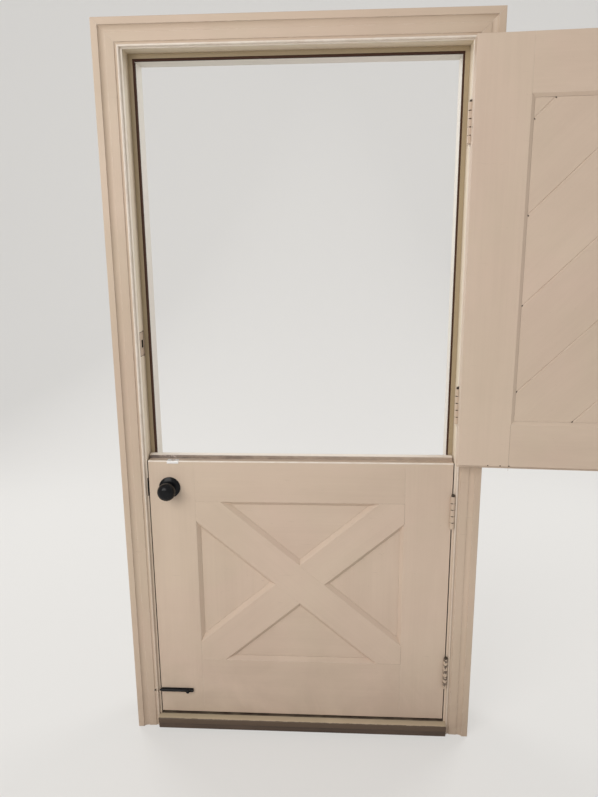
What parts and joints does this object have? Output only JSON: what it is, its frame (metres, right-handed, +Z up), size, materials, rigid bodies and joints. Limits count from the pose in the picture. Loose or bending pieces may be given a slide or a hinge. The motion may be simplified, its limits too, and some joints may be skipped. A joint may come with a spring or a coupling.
{
  "type": "dutch stable door",
  "caption": "Painted timber dutch door in its frame: crossbuck lower leaf, boarded upper leaf folded open, hinges, latch, deadbolt and bolts.",
  "frame": {"origin": "on the floor, at the underside of the sill, in the middle of the opening and in the plane of the closed leaves' room faces", "axes": "+X to the hinge side as seen from the room, +Y away from the room to the outside, +Z up"},
  "size_m": [1.9072, 0.3302, 2.127],
  "materials": {
    "leaf_paint": "satin off-white paint on timber",
    "frame_paint": "satin off-white paint on timber",
    "outer_paint": "white exterior paint on timber",
    "dark_wood": "dark stained timber",
    "weatherstrip": "dark bronze brown",
    "painted_hinge": "painted over in the frame colour",
    "dark_metal": "dark bronze",
    "black_metal": "gloss black",
    "bright_steel": "worn bright steel"
  },
  "bodies": {
    "frame": {"hinge_jamb": "frame_paint", "strike_jamb": "frame_paint", "head_jamb": "frame_paint", "door_stops": "frame_paint", "sill": "dark_wood", "threshold": "frame_paint", "left_casing": "frame_paint", "right_casing": "frame_paint", "head_casing": "frame_paint", "left_outer_moulding": "outer_paint", "right_outer_moulding": "outer_paint", "head_outer_moulding": "outer_paint", "hinge_weatherstrip": "weatherstrip", "strike_weatherstrip": "weatherstrip", "head_weatherstrip": "weatherstrip", "latch_strike": "black_metal", "deadbolt_strike": "painted_hinge", "frame_hinge_leaves": "painted_hinge", "hinge_pins": "dark_metal"},
    "upper_leaf": {"upper_bottom_rail": "leaf_paint", "upper_hinge_stile": "leaf_paint", "upper_top_rail": "leaf_paint", "upper_lock_stile": "leaf_paint", "upper_board_1": "leaf_paint", "upper_board_2": "leaf_paint", "upper_board_3": "leaf_paint", "upper_board_4": "leaf_paint", "upper_board_5": "leaf_paint", "upper_board_6": "leaf_paint", "upper_board_7": "leaf_paint", "upper_top_hinge_leaf": "painted_hinge", "upper_bottom_hinge_leaf": "painted_hinge", "deadbolt_case": "black_metal", "thumbturn_plate": "black_metal", "key_cylinder": "black_metal", "join_bolt_plate": "black_metal"},
    "lower_leaf": {"lower_hinge_stile": "leaf_paint", "lower_lock_stile": "leaf_paint", "lower_bottom_rail": "leaf_paint", "lower_top_rail": "leaf_paint", "lower_rising_brace": "leaf_paint", "lower_falling_brace": "leaf_paint", "lower_top_panel": "leaf_paint", "lower_left_panel": "leaf_paint", "lower_right_panel": "leaf_paint", "lower_bottom_panel": "leaf_paint", "lower_top_hinge_leaf": "painted_hinge", "lower_bottom_hinge_leaf": "painted_hinge", "latch_case": "black_metal", "inner_rose": "black_metal", "outer_rose": "black_metal", "bolt_keeper": "bright_steel", "slide_bolt_barrel": "black_metal"},
    "deadbolt": {"deadbolt": "bright_steel"},
    "thumbturn": {"thumbturn": "black_metal"},
    "join_bolt": {"join_bolt_rod": "bright_steel"},
    "knobs": {"inner_knob": "black_metal", "outer_knob": "black_metal"},
    "latch": {"latch_bolt": "bright_steel"},
    "slide_bolt": {"slide_bolt_rod": "black_metal"}
  },
  "joints": [
    {"name": "upper_leaf_swing", "type": "hinge", "parent": "frame", "child": "upper_leaf", "pos_m": [0.4585, -0.008, 1.4705], "axis": [0, 0, 1], "range_deg": [-176, 0]},
    {"name": "lower_leaf_swing", "type": "hinge", "parent": "frame", "child": "lower_leaf", "pos_m": [0.4585, -0.008, 0.492], "axis": [0, 0, 1], "range_deg": [0, 176]},
    {"name": "thumbturn_turn", "type": "hinge", "parent": "upper_leaf", "child": "thumbturn", "pos_m": [1.30837, -0.07545, 1.266], "axis": [-0.0698, -0.9976, 0], "range_deg": [0, 90]},
    {"name": "deadbolt_throw", "type": "slide", "parent": "upper_leaf", "child": "deadbolt", "axis": [0.9976, -0.0698, 0], "range_m": [0, 0.016]},
    {"name": "join_bolt_drop", "type": "slide", "parent": "upper_leaf", "child": "join_bolt", "axis": [0, 0, -1], "range_m": [0, 0.014]},
    {"name": "knob_turn", "type": "hinge", "parent": "lower_leaf", "child": "knobs", "pos_m": [-0.394, 0, 0.83], "axis": [0, 1, 0], "range_deg": [0, 60]},
    {"name": "latch_slide", "type": "slide", "parent": "lower_leaf", "child": "latch", "axis": [-1, 0, 0], "range_m": [0, 0.011]},
    {"name": "slide_bolt_slide", "type": "slide", "parent": "lower_leaf", "child": "slide_bolt", "axis": [-1, 0, 0], "range_m": [-0.008, 0.014]}
  ],
  "couplings": [
    {"joint": "deadbolt_throw", "follows": "thumbturn_turn", "m_per_rad": 0.01018},
    {"joint": "latch_slide", "follows": "knob_turn", "m_per_rad": 0.0105}
  ]
}
